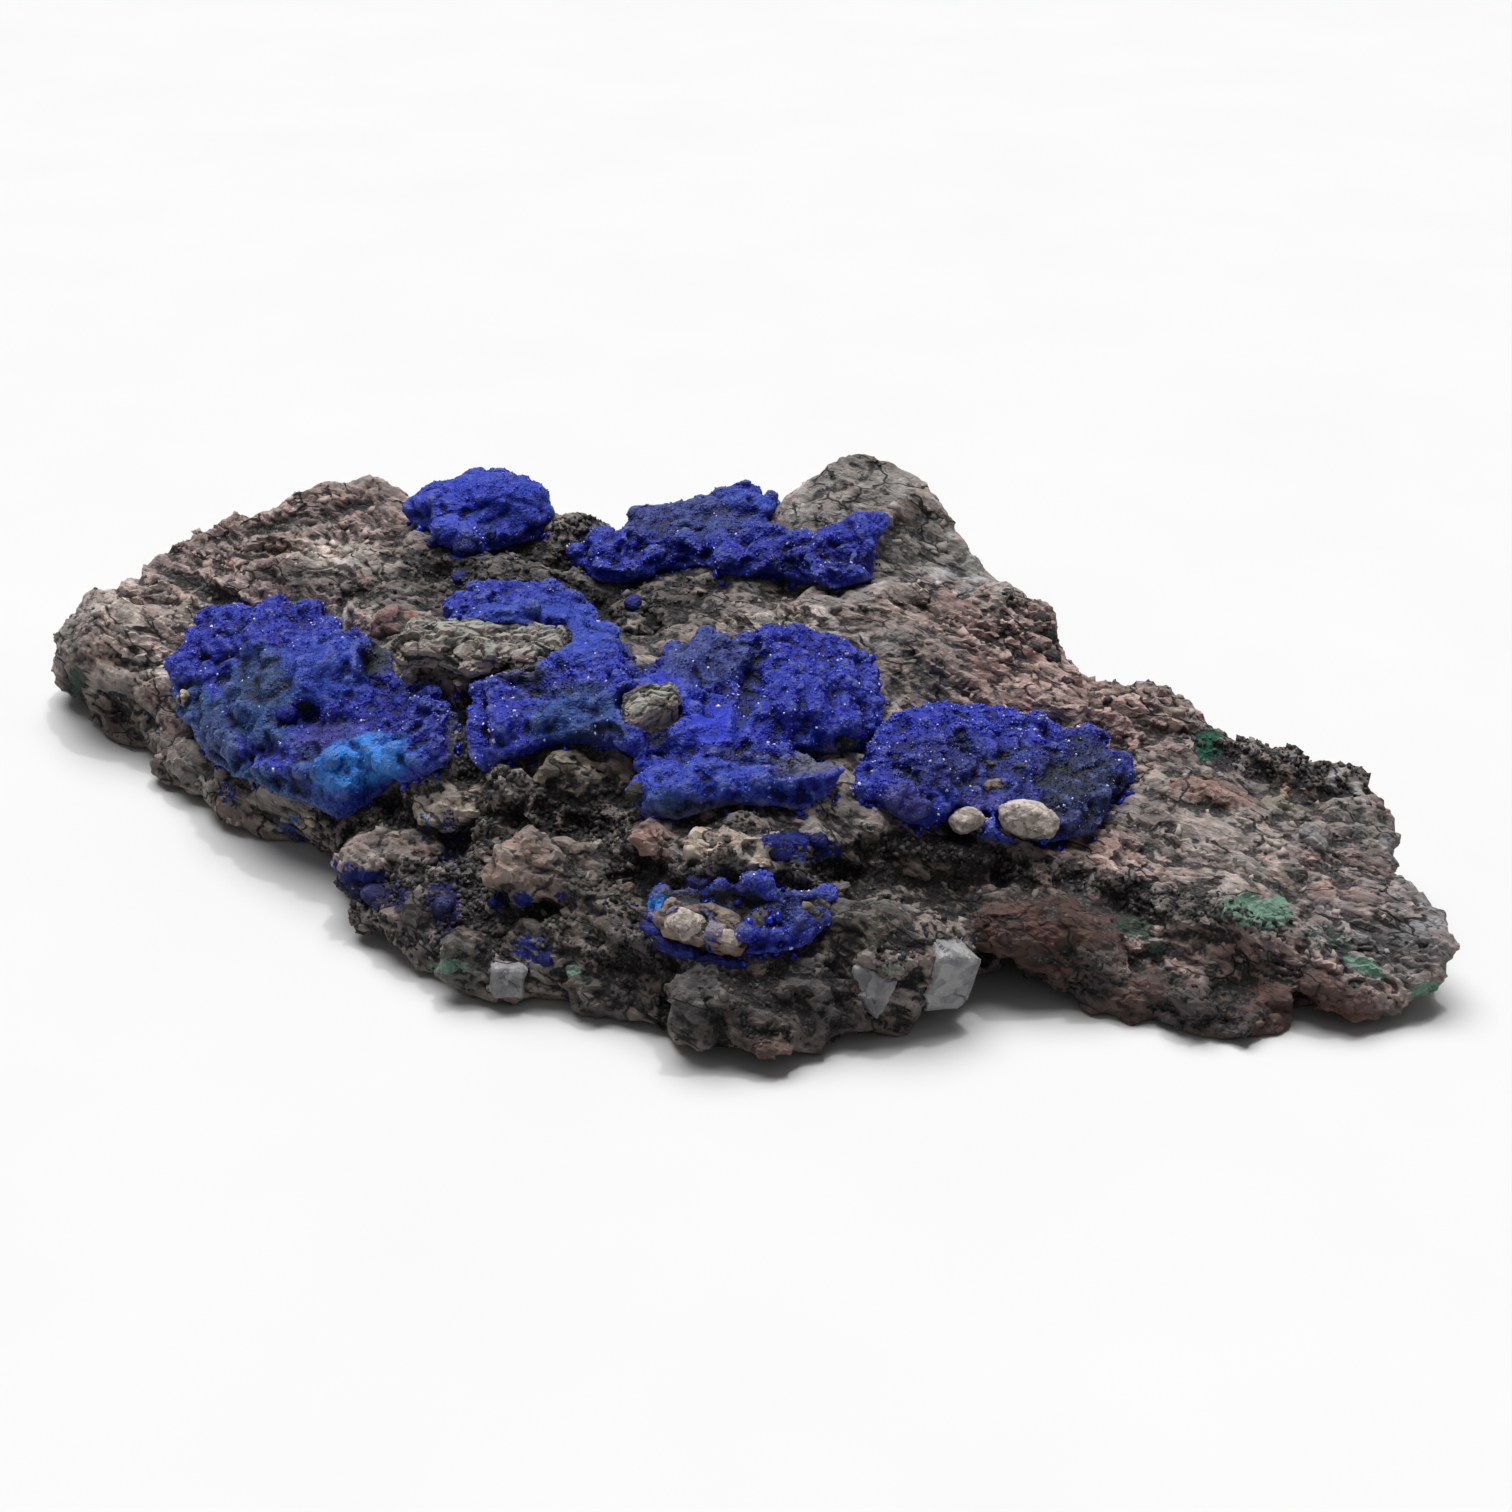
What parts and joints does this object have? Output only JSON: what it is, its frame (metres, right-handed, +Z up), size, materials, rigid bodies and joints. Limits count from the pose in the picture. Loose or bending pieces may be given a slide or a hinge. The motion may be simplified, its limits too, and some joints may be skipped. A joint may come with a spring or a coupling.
{
  "type": "azurite specimen",
  "caption": "Flat kite-shaped slab of feldspar-rich sandstone with lumpy deep-blue azurite crusts on its upper face, resting on a flat base.",
  "frame": {"origin": "on the surface that the specimen lies on, under the middle of its bounding box", "axes": "+X along the slab's length to its thin right end, +Y to its high back edge, +Z up out of the face with the azurite crusts"},
  "size_m": [0.1666, 0.1096, 0.0347],
  "materials": {
    "matrix": "rough broken arkose: pinkish feldspar, grey quartz and black metal oxides, with small pale green malachite stains",
    "azurite": "deep blue azurite crust, lumpy and covered with tiny sparkling crystals",
    "pebble": "matt cream feldspar",
    "banded": "thin grey, cream and black layers, matt",
    "quartz": "greyish white, with smooth broken faces"
  },
  "bodies": {
    "root": {"matrix": "matrix", "azurite_left_crust": "azurite", "azurite_center_crust": "azurite", "azurite_right_crust": "azurite", "azurite_back_cap": "azurite", "azurite_back_ridge": "azurite", "azurite_front_pocket": "azurite", "pale_pebble_large": "pebble", "pale_pebble_small": "pebble", "pocket_stone_large": "pebble", "pocket_stone_small": "pebble", "banded_plate": "banded", "banded_chip": "banded", "quartz_block_large": "quartz", "quartz_block_small": "quartz", "quartz_block_left": "quartz"}
  },
  "joints": []
}
